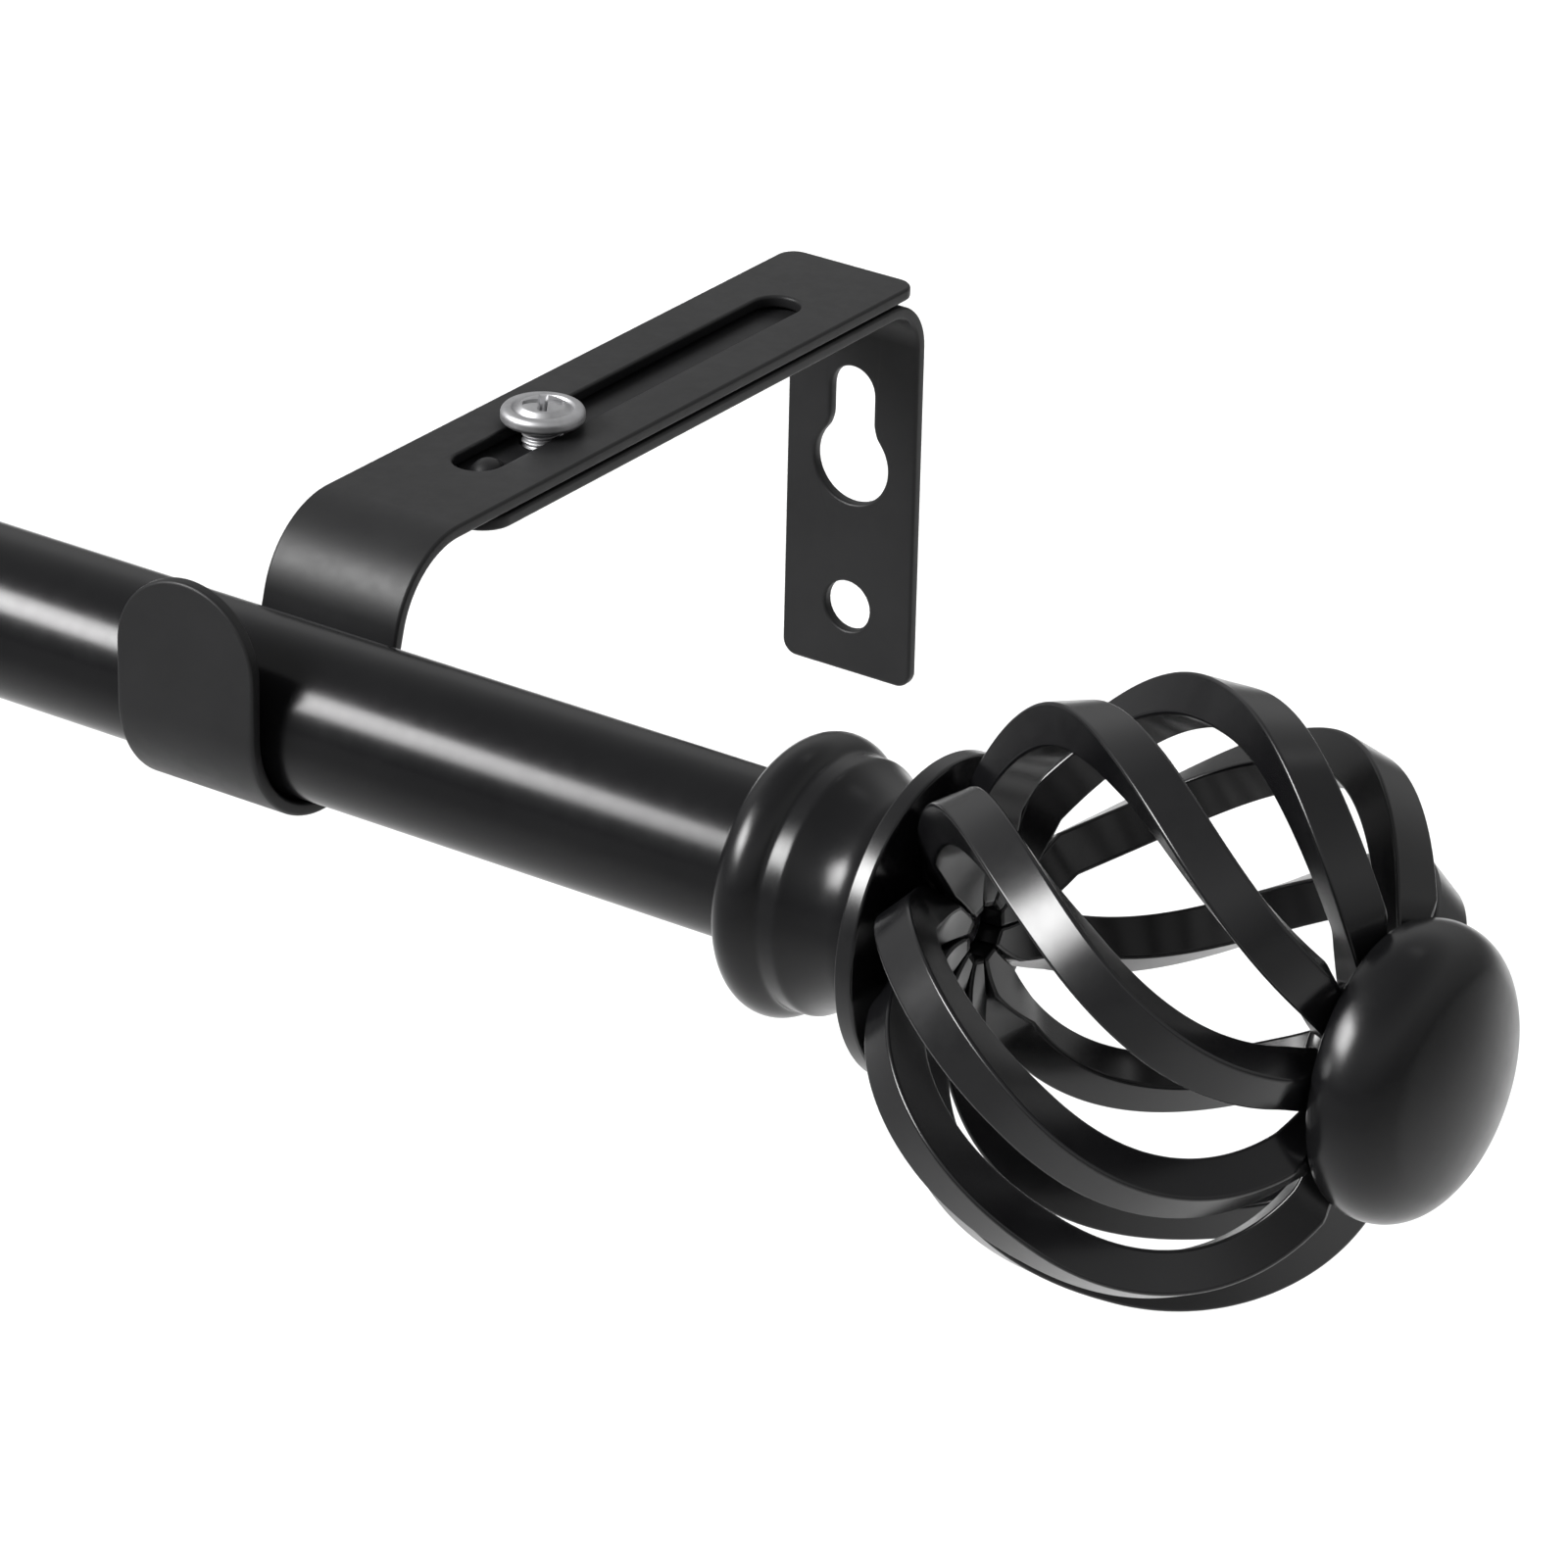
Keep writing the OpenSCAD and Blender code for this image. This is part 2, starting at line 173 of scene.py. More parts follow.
def enamel(name, low, high, rough, peel_scale, peel_depth, specular, shade_painted_in_gaps=False):
    """Black paint over metal: a faint mottle, uneven gloss and an orange peel."""
    mat, nodes, links, bsdf, coord = new_material(name)
    mottle = noise(nodes, links, coord, 60, 4, 0.6)
    fine = noise(nodes, links, coord, 500, 3, 0.6)
    links.new(colours(nodes, links, ramp(nodes, links, mottle, 0, 1), low, high), bsdf.inputs["Base Color"])
    links.new(ramp(nodes, links, fine, *rough), bsdf.inputs["Roughness"])
    bsdf.inputs["Specular IOR Level"].default_value = specular
    # Painted shade: the specular level falls in gaps and recesses, such as the arm's slot, in place of the
    # shade there.
    if shade_painted_in_gaps:
        level = times(nodes, links, painted_gap_shade(nodes, links, GAP_SHADE_REACH, GAP_SHADE_LOW), specular)
        links.new(level, bsdf.inputs["Specular IOR Level"])
    peel = noise(nodes, links, coord, peel_scale, 2, 0.5)
    bump(nodes, links, bsdf, peel, peel_depth)
    return mat


def metal(name, low, high, rough, stretch):
    """Bare or plated metal with fine turned marks."""
    mat, nodes, links, bsdf, coord = new_material(name)
    cloud = noise(nodes, links, coord, 350, 4, 0.6)
    marks = noise(nodes, links, coord, 2500, 3, 0.7, stretch)
    links.new(colours(nodes, links, ramp(nodes, links, cloud, 0, 1), low, high), bsdf.inputs["Base Color"])
    links.new(ramp(nodes, links, marks, *rough), bsdf.inputs["Roughness"])
    bsdf.inputs["Metallic"].default_value = 1.0
    bump(nodes, links, bsdf, marks, 1.5e-6)
    return mat


def nylon(name, low, high, rough, subsurface=0.0):
    """Moulded plastic with a fine spark-eroded texture."""
    mat, nodes, links, bsdf, coord = new_material(name)
    flow = noise(nodes, links, coord, 120, 3, 0.5)
    grain = noise(nodes, links, coord, 4000, 2, 0.6)
    links.new(colours(nodes, links, ramp(nodes, links, flow, 0, 1), low, high), bsdf.inputs["Base Color"])
    links.new(ramp(nodes, links, grain, *rough), bsdf.inputs["Roughness"])
    bsdf.inputs["Subsurface Weight"].default_value = subsurface
    bsdf.inputs["Subsurface Scale"].default_value = 0.001
    bump(nodes, links, bsdf, grain, 1.2e-5)
    return mat


# Reach and lowest factor of the painted shade in gaps.
GAP_SHADE_REACH, GAP_SHADE_LOW = 0.008, 0.1
SATIN = (0.009, 0.009, 0.0095), (0.012, 0.012, 0.0125)
GLOSS = (0.0035, 0.0035, 0.004), (0.005, 0.005, 0.0055)
ZINC = (0.40, 0.40, 0.41), (0.50, 0.50, 0.51)
BARE_STEEL = (0.46, 0.46, 0.47), (0.56, 0.56, 0.57)
BLACK_NYLON = (0.022, 0.022, 0.022), (0.030, 0.030, 0.030)
IVORY = (0.62, 0.61, 0.56), (0.72, 0.71, 0.66)

MATERIALS = {
    # The strap coat carries painted shade in its gaps, such as the slot.
    "strap_black": enamel("strap_black", *SATIN, (0.42, 0.46), 700, 6e-6, 0.26, shade_painted_in_gaps=True),
    "rod_black": enamel("rod_black", *GLOSS, (0.21, 0.24), 400, 1.5e-6, 0.30),
    "cast_black": enamel("cast_black", *GLOSS, (0.23, 0.27), 350, 3e-6, 0.32),
    "bar_black": enamel("bar_black", *GLOSS, (0.22, 0.25), 380, 2e-6, 0.46),
    "zinc_screw": metal("zinc_screw", *ZINC, (0.46, 0.50), (1, 1, 1)),
    "steel": metal("steel", *BARE_STEEL, (0.26, 0.40), (0.1, 1, 1)),
    "black_plastic": nylon("black_plastic", *BLACK_NYLON, (0.45, 0.58)),
    "plug_plastic": nylon("plug_plastic", *IVORY, (0.42, 0.56), 0.1),
}


# ---------- making pieces ----------

def finish_piece(bm, name, slot, body, *nodes, flat_faces=True):
    """Turns a bmesh drawn in millimetres into a piece that rides on a body and stands for CAD nodes."""
    bmesh.ops.remove_doubles(bm, verts=bm.verts, dist=1e-3)
    bmesh.ops.recalc_face_normals(bm, faces=bm.faces)
    bmesh.ops.scale(bm, vec=(MM, MM, MM), verts=bm.verts)
    for face in bm.faces:
        face.smooth = True
    mesh = bpy.data.meshes.new(name)
    bm.to_mesh(mesh)
    bm.free()
    mesh.materials.append(MATERIALS[slot])
    obj = bpy.data.objects.new(name, mesh)
    bpy.context.scene.collection.objects.link(obj)
    if flat_faces:
        weighted = obj.modifiers.new("flat faces", "WEIGHTED_NORMAL")
        weighted.weight = 100
        weighted.keep_sharp = True
    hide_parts(*nodes)
    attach(obj, body)
    return obj


def grid_faces(bm, rows, close_around=True, close_along=False):
    """Joins rows of vertices into quads."""
    count = len(rows[0])
    last = len(rows) if close_along else len(rows) - 1
    for i in range(last):
        a, b = rows[i], rows[(i + 1) % len(rows)]
        for j in range(count if close_around else count - 1):
            k = (j + 1) % count
            bm.faces.new((a[j], a[k], b[k], b[j]))


def lathe(profile, place, closed=False, segments=128, bm=None):
    """Turns a profile of (radius, distance) points about the axis of the 4x4 matrix place."""
    bm = bm or bmesh.new()
    turns = [(math.cos(a), math.sin(a)) for a in (2 * math.pi * j / segments for j in range(segments))]
    rows = []
    for radius, along in profile:
        if radius < 1e-6:
            tip = bm.verts.new(place @ Vector((0, 0, along)))
            rows.append([tip] * segments)
        else:
            rows.append([bm.verts.new(place @ Vector((radius * c, radius * s, along))) for c, s in turns])
    for i in range(len(rows) if closed else len(rows) - 1):
        a, b = rows[i], rows[(i + 1) % len(rows)]
        for j in range(segments):
            k = (j + 1) % segments
            loop = [a[j], a[k], b[k], b[j]]
            if a[j] is a[k]:
                loop = [a[j], b[k], b[j]]
            elif b[j] is b[k]:
                loop = [a[j], a[k], b[j]]
            bm.faces.new(loop)
    return bm


def along_rod(x, outward=1):
    """Matrix that lays a shape drawn up +Z along the rod, outwards to the right (1) or left (-1)."""
    if outward > 0:
        turn = Matrix(((0, 0, 1), (0, 1, 0), (-1, 0, 0)))
    else:
        turn = Matrix(((0, 0, -1), (0, -1, 0), (-1, 0, 0)))
    return Matrix.Translation((x, ROD_Y, ROD_Z)) @ turn.to_4x4()


FINIALS = {"right": along_rod(ROD_RIGHT, 1), "left": along_rod(INNER_LEFT, -1)}


def arc(centre, radius, start, end, steps):
    """Points on an arc, with its angles in degrees."""
    return [(centre[0] + radius * math.cos(a), centre[1] + radius * math.sin(a))
            for a in (math.radians(start + (end - start) * i / steps) for i in range(steps + 1))]


def soften(points, step, passes):
    """Points spread evenly along a line and eased, so that its corners become small fillets."""
    points = np.array(points, float)
    lengths = np.concatenate([[0], np.cumsum(np.hypot(*np.diff(points, axis=0).T))])
    count = max(int(lengths[-1] / step), 4)
    at = np.linspace(0, lengths[-1], count + 1)
    points = np.stack([np.interp(at, lengths, points[:, i]) for i in (0, 1)], 1)
    for _ in range(passes):
        points[1:-1] = (points[:-2] + 2 * points[1:-1] + points[2:]) / 4
    return [tuple(p) for p in points]


def ring_profile(outer, inner, start, end, edge, steps=3):
    """Closed profile of a tube with rounded rims."""
    return (arc((outer - edge, end - edge), edge, 0, 90, steps)
            + arc((inner + edge, end - edge), edge, 90, 180, steps)
            + arc((inner + edge, start + edge), edge, 180, 270, steps)
            + arc((outer - edge, start + edge), edge, 270, 360, steps))


def threaded_rod(length, radius, pitch, start, place, around=48, per_pitch=8, bm=None):
    """A screw thread with a tapered nose at its free end, drawn up +Z from start."""
    bm = bm or bmesh.new()
    depth = 0.55 * pitch
    rows = []
    steps = int(length / pitch * per_pitch)
    for i in range(steps + 1):
        z = length * i / steps
        row = []
        for j in range(around):
            phase = (z / pitch - j / around) % 1
            tooth = min(1.0, max(0.0, 2.6 * abs(phase - 0.5) - 0.1))
            nose = min(1.0, (length - z) / pitch, z / pitch)
            r = radius - depth * (1 - tooth * nose)
            a = 2 * math.pi * j / around
            row.append(bm.verts.new(place @ Vector((r * math.cos(a), r * math.sin(a), start + z))))
        rows.append(row)
    grid_faces(bm, rows)
    bm.faces.new(rows[0])
    bm.faces.new(rows[-1])
    return bm


# ---------- bent strap ----------

class StrapPath:
    """The side of a bent strap that its sizes are given on, as lines and arcs in the Y-Z plane."""

    def __init__(self):
        self.parts = []
        self.length = 0.0

    def line(self, start, direction, length, normal):
        self.parts.append((self.length, length, "line", (Vector(start), Vector(direction), Vector(normal))))
        self.length += length

    def arc(self, centre, radius, start, end, outward):
        """outward is 1 where the strap's thickness lies outside the arc, and -1 where it lies inside."""
        length = radius * abs(end - start)
        self.parts.append((self.length, length, "arc", (Vector(centre), radius, start, end, outward)))
        self.length += length

    def place(self, x, s, depth):
        for begin, length, kind, data in self.parts:
            if s <= begin + length + 1e-6 or (begin, length) == self.parts[-1][:2]:
                break
        t = s - begin
        if kind == "line":
            start, direction, normal = data
            p = start + direction * t + normal * depth
        else:
            centre, radius, a0, a1, outward = data
            a = a0 + (a1 - a0) * t / length
            p = centre + Vector((math.cos(a), math.sin(a))) * (radius + outward * depth)
        return Vector((x, p[0], p[1]))

    def bend_stations(self, step):
        """Distances where the flat blank needs a cut so that it can bend."""
        stations = []
        for begin, length, kind, _ in self.parts:
            count = max(1, int(length / (step if kind == "arc" else 12.0)))
            stations += [begin + length * i / count for i in range(count + 1)]
        return sorted(set(round(s, 4) for s in stations))


def flat_blank(outline, holes, thickness, edge):
    """Flat sheet-metal blank with rounded edges: x across, y along, and z from 0 down to -thickness."""
    curve = bpy.data.curves.new("blank", "CURVE")
    curve.dimensions = "2D"
    curve.fill_mode = "BOTH"
    curve.extrude = thickness / 2 - edge
    curve.bevel_depth = edge
    curve.bevel_resolution = 2
    curve.offset = -edge
    for points in [outline, *holes]:
        spline = curve.splines.new("POLY")
        spline.points.add(len(points) - 1)
        for point, (x, y) in zip(spline.points, points):
            point.co = (x, y, 0, 1)
        spline.use_cyclic_u = True
    obj = bpy.data.objects.new("blank", curve)
    bpy.context.scene.collection.objects.link(obj)
    mesh = bpy.data.meshes.new_from_object(obj.evaluated_get(bpy.context.evaluated_depsgraph_get()))
    bm = bmesh.new()
    bm.from_mesh(mesh)
    bpy.data.objects.remove(obj)
    bpy.data.curves.remove(curve)
    bpy.data.meshes.remove(mesh)
    bmesh.ops.remove_doubles(bm, verts=bm.verts, dist=1e-3)
    bmesh.ops.translate(bm, vec=(0, 0, -thickness / 2), verts=bm.verts)
    return bm


def bent_strap(path, outline, holes, x_offset, step=0.7):
    bm = flat_blank(outline, holes, STRAP_T, STRAP_EDGE)
    for s in path.bend_stations(step):
        if 0.01 < s < path.length - 0.01:
            bmesh.ops.bisect_plane(bm, geom=bm.verts[:] + bm.edges[:] + bm.faces[:], dist=1e-4,
                                   plane_co=(0, s, 0), plane_no=(0, 1, 0))
    for vert in bm.verts:
        x, s, z = vert.co
        vert.co = path.place(x + x_offset, s, -z)
    return bm


def corner_arcs(width, length, low_r, high_r, steps=10):
    """Outline of a strap blank with rounded corners, from 0 to length along y."""
    w = width / 2
    return (arc((w - low_r, low_r), low_r, -90, 0, steps)
            + arc((w - high_r, length - high_r), high_r, 0, 90, steps)
            + arc((-w + high_r, length - high_r), high_r, 90, 180, steps)
            + arc((-w + low_r, low_r), low_r, 180, 270, steps))


def without_repeats(points):
    kept = [points[0]]
    for p in points[1:]:
        if math.dist(p, kept[-1]) > 1e-3:
            kept.append(p)
    if math.dist(kept[0], kept[-1]) < 1e-3:
        kept.pop()
    return kept


def arm_path():
    path = StrapPath()
    foot = Vector((ROD_Y + HOOK_R * math.cos(NECK_LEAN), HOOK_Z - HOOK_R * math.sin(NECK_LEAN)))
    neck = (ARM_TOP - ARM_BEND_R * (1 - math.sin(NECK_LEAN)) - foot[1]) / math.cos(NECK_LEAN)
    up = Vector((math.sin(NECK_LEAN), math.cos(NECK_LEAN)))
    bend_y = (foot + up * neck)[0] + ARM_BEND_R * math.cos(NECK_LEAN)
    path.line((ROD_Y - HOOK_R, TONGUE_TOP), (0, -1), TONGUE_TOP - HOOK_Z, (-1, 0))
    path.arc((ROD_Y, HOOK_Z), HOOK_R, math.pi, 2 * math.pi - NECK_LEAN, 1)
    path.line(foot, up, neck, (up[1], -up[0]))
    path.arc((bend_y, ARM_TOP - ARM_BEND_R), ARM_BEND_R, math.pi - NECK_LEAN, math.pi / 2, -1)
    path.flat_start = path.length
    path.bend_y = bend_y
    path.line((bend_y, ARM_TOP), (1, 0), ARM_BACK_Y - bend_y, (0, -1))
    return path


def make_arm(side):
    path = arm_path()
    along = lambda y: path.flat_start + y - path.bend_y
    outline = without_repeats(corner_arcs(STRAP_W, path.length, STRAP_W / 2, ARM_CORNER_R, 24))
    r = SLOT_W / 2
    slot = without_repeats(arc((0, along(SLOT_BACK_Y) - r), r, 0, 180, 20)
                           + arc((0, along(SLOT_FRONT_Y) + r), r, 180, 360, 20))
    bm = bent_strap(path, outline, [slot], BRACKETS[side])
    finish_piece(bm, "arm_strap_" + side, "strap_black", "arm_" + side, "arm_" + side)


def make_wall_plate(side):
    x0 = BRACKETS[side]
    path = StrapPath()
    path.line((LEG_FRONT_Y, LEG_TOP), (1, 0), -PLATE_BEND_R - LEG_FRONT_Y, (0, -1))
    path.arc((-PLATE_BEND_R, LEG_TOP - PLATE_BEND_R), PLATE_BEND_R, math.pi / 2, 0, -1)
    wall_start = path.length
    top = LEG_TOP - PLATE_BEND_R
    path.line((0, top), (0, -1), top - PLATE_LOW, (-1, 0))
    down = lambda z: wall_start + top - z
    outline = without_repeats(corner_arcs(STRAP_W, path.length, LEG_CORNER_R, PLATE_CORNER_R))
    shoulder = math.degrees(math.asin(SHOULDER_W / 2 / KEY_R))
    keyhole = soften(arc((0, down(KEY_Z)), KEY_R, 90, 270 - shoulder, 24)
                     + [(-KEY_NECK_R, down(KEY_Z + SHOULDER_HIGH))]
                     + arc((0, down(KEY_NECK_Z)), KEY_NECK_R, 180, 360, 20)
                     + [(KEY_NECK_R, down(KEY_Z + SHOULDER_HIGH))]
                     + arc((0, down(KEY_Z)), KEY_R, shoulder - 90, 90, 24), 0.3, 3)
    keyhole = without_repeats(keyhole)
    hole = without_repeats(arc((0, down(HOLE_Z)), HOLE_R, 0, 360, 32))
    screw_hole = without_repeats(arc((0, SCREW_Y - LEG_FRONT_Y), SCREW_R + FIT, 0, 360, 32))
    bm = bent_strap(path, outline, [keyhole, hole, screw_hole], x0)
    low = LEG_TOP - STRAP_T
    bore, boss_end = SCREW_R + FIT, low - BOSS_DROP
    boss = (arc((BOSS_R + BOSS_FILLET, low - BOSS_FILLET), BOSS_FILLET, 90, 180, 4)
            + arc((BOSS_R - BOSS_EDGE, boss_end + BOSS_EDGE), BOSS_EDGE, 0, -90, 4)
            + [(bore + BOSS_EDGE, boss_end), (bore, boss_end + BOSS_EDGE), (bore, low)])
    lathe(boss, Matrix.Translation((x0, SCREW_Y, 0)), segments=64, bm=bm)
    nub = [(NUB_R + NUB_FILLET, LEG_TOP)] + soften(
        [(NUB_R + NUB_FILLET, LEG_TOP + 0.005), (NUB_R - 0.1, LEG_TOP + 0.12)]
        + arc((0, LEG_TOP + NUB_RISE - NUB_R), NUB_R, 26, 90, 16), 0.12, 4)
    nub[-1] = (0, nub[-1][1])
    lathe(nub, Matrix.Translation((x0, NUB_Y, 0)), segments=48, bm=bm)
    finish_piece(bm, "wall_strap_" + side, "strap_black", "wall_plates", "wall_plate_" + side)


# ---------- adjusting screw ----------

def make_screw(side):
    place = Matrix.Translation((BRACKETS[side], SCREW_Y, HEAD_Z))
    rim = HEAD_R - HEAD_ROUND
    edge = [(0, 0), (HEAD_R - 0.3, 0), (HEAD_R, 0.35), *arc((rim, 0.95), HEAD_ROUND, 10, 90, 8)]
    groove = [(rim - 0.45, 1.7), (rim - 0.7, 1.3), (rim - 0.95, 1.35)]
    dome = [(rim - 1.5, 2.0), (rim - 2.5, 2.3), (0, HEAD_H)]
    profile = soften(edge + groove + dome, 0.08, 4)
    profile[0], profile[-1] = (0, profile[0][1]), (0, profile[-1][1])
    head_bm = lathe(profile, place, segments=96)
    bmesh.ops.recalc_face_normals(head_bm, faces=head_bm.faces)
    cutter_bm = bmesh.new()
    for turn in (0, 90):
        box = bmesh.ops.create_cube(cutter_bm, size=1)["verts"]
        for v in box:
            above = v.co.z > 0
            length = RECESS_L * (1.0 if above else RECESS_TAPER_L)
            width = RECESS_W * (1.0 if above else RECESS_TAPER_W)
            v.co = Vector((v.co.x * length, v.co.y * width, HEAD_H + (0.6 if above else -RECESS_H)))
        bmesh.ops.rotate(cutter_bm, verts=box, cent=(0, 0, 0),
                         matrix=Matrix.Rotation(math.radians(turn + RECESS_TURN), 3, "Z"))
    bmesh.ops.transform(cutter_bm, matrix=place, verts=cutter_bm.verts)
    head = cut_away(head_bm, cutter_bm)
    threaded_rod(SCREW_LEN, SCREW_R, SCREW_PITCH, -SCREW_LEN, place, bm=head)
    finish_piece(head, "screw_" + side, "zinc_screw", "screw_" + side, "adjusting_screw_" + side)


def cut_away(body_bm, cutter_bm):
    """The body with the cutter taken away, as a new bmesh."""
    objs = []
    for name, bm in (("body", body_bm), ("cutter", cutter_bm)):
        mesh = bpy.data.meshes.new(name)
        bm.to_mesh(mesh)
        bm.free()
        obj = bpy.data.objects.new(name, mesh)
        bpy.context.scene.collection.objects.link(obj)
        objs.append(obj)
    body, cutter = objs
    modifier = body.modifiers.new("cut", "BOOLEAN")
    modifier.operation = "DIFFERENCE"
    modifier.solver = "EXACT"
    modifier.use_self = True
    modifier.object = cutter
    result = bpy.data.meshes.new_from_object(body.evaluated_get(bpy.context.evaluated_depsgraph_get()))
    bm = bmesh.new()
    bm.from_mesh(result)
    for obj in objs:
        mesh = obj.data
        bpy.data.objects.remove(obj)
        bpy.data.meshes.remove(mesh)
    bpy.data.meshes.remove(result)
    return bm


# ---------- rod ----------

def make_rod():
    for name, radius, start, body, node in (("rod_outer", ROD_R, ROD_LEFT, "outer_rod", "outer_tube"),
                                            ("rod_inner", INNER_R, INNER_LEFT, "inner_rod", "inner_tube")):
        tube = ring_profile(radius, radius - TUBE_WALL, 0, TUBE_LEN, 0.25)
        bm = lathe(tube, along_rod(start), True, 160)
        finish_piece(bm, name, "rod_black", body, node, flat_faces=False)
    bush = ring_profile(ROD_R - TUBE_WALL, INNER_R + FIT, 0, BUSH_LEN, 0.2)
    bm = lathe(bush, along_rod(ROD_LEFT), True, 128)
    finish_piece(bm, "bush_mouth", "black_plastic", "outer_rod", "mouth_bush")
    lip, shank = ROD_R - TUBE_WALL - FIT, INNER_R - TUBE_WALL
    guide = [(0, GUIDE_LIP), (lip - 0.3, GUIDE_LIP), (lip, GUIDE_LIP - 0.3), (lip, 0.2), (lip - 0.2, 0),
             (shank, 0), (shank, 1 - GUIDE_LEN), (shank - 1, -GUIDE_LEN), (0, -GUIDE_LEN)]
    bm = lathe(guide, along_rod(INNER_LEFT + TUBE_LEN), segments=96)
    finish_piece(bm, "guide_sliding", "plug_plastic", "inner_rod", "sliding_guide")
    bore = STUD_R + FIT
    for side, tube_r, body in (("right", ROD_R, "outer_rod"), ("left", INNER_R, "inner_rod")):
        radius = tube_r - TUBE_WALL
        plug = [(bore, -PLUG_LEN), (radius - 0.8, -PLUG_LEN), (radius, 0.8 - PLUG_LEN), (radius, -0.3),
                (radius - 0.3, 0), (bore + 0.5, 0), (bore, -0.5)]
        bm = lathe(plug, FINIALS[side], True, 96)
        finish_piece(bm, "plug_" + side, "plug_plastic", body, "end_plug_" + side)


# ---------- finial ----------

def collar_radius(z):
    """Outside radius of the collar at a distance from the end of the tube."""
    r = SPIGOT_R if z > SPIGOT_START else SHOULDER_R if z > SHOULDER_START else 0
    if z <= SLEEVE_END:
        r = max(r, SLEEVE_R)
    if abs(z - BEAD_Z) < BEAD_R:
        r = max(r, BEAD_CREST - BEAD_R + math.sqrt(BEAD_R ** 2 - (z - BEAD_Z) ** 2))
    if RING_START <= z <= SMALL_BEAD_Z:
        hollow = WAIST_R + HOLLOW_R - math.sqrt(max(HOLLOW_R ** 2 - (z - SMALL_BEAD_Z) ** 2, 0))
        r = max(r, min(RING_R, hollow))
    if abs(z - SMALL_BEAD_Z) < SMALL_BEAD_R:
        r = max(r, WAIST_R - SMALL_BEAD_R + math.sqrt(SMALL_BEAD_R ** 2 - (z - SMALL_BEAD_Z) ** 2))
    return r


def make_collar(side, socket):
    heights = np.linspace(-SOCKET_LEN, COLLAR_LEN, 900)
    outer = [(socket + 0.2, -SOCKET_LEN)] + [(collar_radius(z), z) for z in heights]
    outer = soften(outer, 0.16, 5)
    bore = STUD_R + FIT
    inner = [(bore, COLLAR_LEN), (bore, 0.3), (bore + 0.3, 0), (socket, 0), (socket, -SOCKET_LEN + 0.2)]
    bm = lathe(outer + inner, FINIALS[side], True, 128)
    body = "collar_" + side
    finish_piece(bm, "collar_turned_" + side, "cast_black", body, "collar_" + side, flat_faces=False)


def make_stud(side):
    length = STUD_LEN + COLLAR_LEN + HUB_T + STUD_NOSE
    bm = threaded_rod(length, STUD_R, STUD_PITCH, -STUD_LEN, FINIALS[side])
    finish_piece(bm, "stud_thread_" + side, "steel", "finial_" + side, "stud_" + side, flat_faces=False)


def make_hub(side):
    bore = STUD_R + FIT
    profile = ring_profile(HUB_R, bore, COLLAR_LEN, COLLAR_LEN + HUB_T, HUB_EDGE, 4)
    bm = lathe(profile, FINIALS[side], True, 160)
    finish_piece(bm, "hub_disc_" + side, "bar_black", "finial_" + side, "cage_hub_" + side)


def make_cap(side):
    start, end = KNOB_START - BAR_T, KNOB_START
    rounded = arc((CAP_R - CAP_EDGE, start + CAP_EDGE), CAP_EDGE, -90, 0, 6)
    bm = lathe([(0, start), *rounded, (CAP_R, end), (0, end)], FINIALS[side], segments=96)
    finish_piece(bm, "cap_round_" + side, "bar_black", "finial_" + side, "cage_cap_" + side)


def make_knob(side):
    centre = (KNOB_R - KNOB_RIM, KNOB_SEAT)
    low = math.degrees(math.asin(-KNOB_SEAT / KNOB_RIM))
    dome_centre = (0, KNOB_LEN - DOME_R)
    edge = math.degrees(math.acos(DOME_EDGE / DOME_R))
    rim_end = math.degrees(math.atan2(dome_centre[1] + DOME_R * math.sin(math.radians(edge)) - KNOB_SEAT,
                                      DOME_EDGE - centre[0]))
    points = [(0, 0)] + arc(centre, KNOB_RIM, low, rim_end, 60) + arc(dome_centre, DOME_R, edge, 90, 40)
    profile = soften(points, 0.2, 24)
    profile[0], profile[-1] = (0, 0), (0, profile[-1][1])
    profile = [(r, max(z, 0)) for r, z in profile]
    start = FINIALS[side] @ Matrix.Translation((0, 0, KNOB_START))
    finish_piece(lathe(profile, start, segments=160), "knob_dome_" + side, "cast_black", "finial_" + side,
                 "knob_" + side, flat_faces=False)


# ---------- cage bars ----------

def cage_profile(angle):
    """[radius, distance from the middle] of the cage's outer surface, at an angle from its inner pole."""
    c, s = math.cos(angle), math.sin(angle)
    power = BACK_POWER if c > 0 else FRONT_POWER
    size = (abs(c) ** power + abs(s) ** power) ** (-1 / power)
    return CAGE_R * size * s, -(CAGE_BACK if c > 0 else CAGE_FRONT) * size * c


def angle_at(radius, low, high):
    """Angle where the profile's radius reaches a value, found by halving the interval."""
    side = cage_profile(low)[0] < radius
    for _ in range(40):
        middle = (low + high) / 2
        if (cage_profile(middle)[0] < radius) == side:
            low = middle
        else:
            high = middle
    return (low + high) / 2


def spine(angle):
    radius, along = cage_profile(angle)
    turn = math.radians(HALF_TWIST * along / CAGE_BACK)
    return Vector((radius * math.cos(turn), radius * math.sin(turn), along))


def section_frame(angle):
    """Outer middle point, direction across the bar, outward normal and half width of a bar's section."""
    step = 1e-3
    p = spine(angle)
    (ra, za), (rb, zb) = cage_profile(angle - step), cage_profile(angle + step)
    slope = Vector((rb - ra, zb - za)).normalized()
    radius, distance = cage_profile(angle)
    turn = math.radians(HALF_TWIST * distance / CAGE_BACK)
    normal = Vector((slope[1] * math.cos(turn), slope[1] * math.sin(turn), -slope[0]))
    along = (spine(angle + step) - spine(angle - step)).normalized()
    flat = along.cross(normal).normalized()
    roll = math.radians(-SECTION_ROLL * distance / CAGE_BACK) * min(1, (radius / FULL_ROLL_R) ** 2)
    across = flat * math.cos(roll) + normal * math.sin(roll)
    outward = normal * math.cos(roll) - flat * math.sin(roll)
    half = min(BAR_W, 2 * radius * math.sin(math.pi / BAR_COUNT) * PETAL_FILL) / 2
    return p, across, outward, half


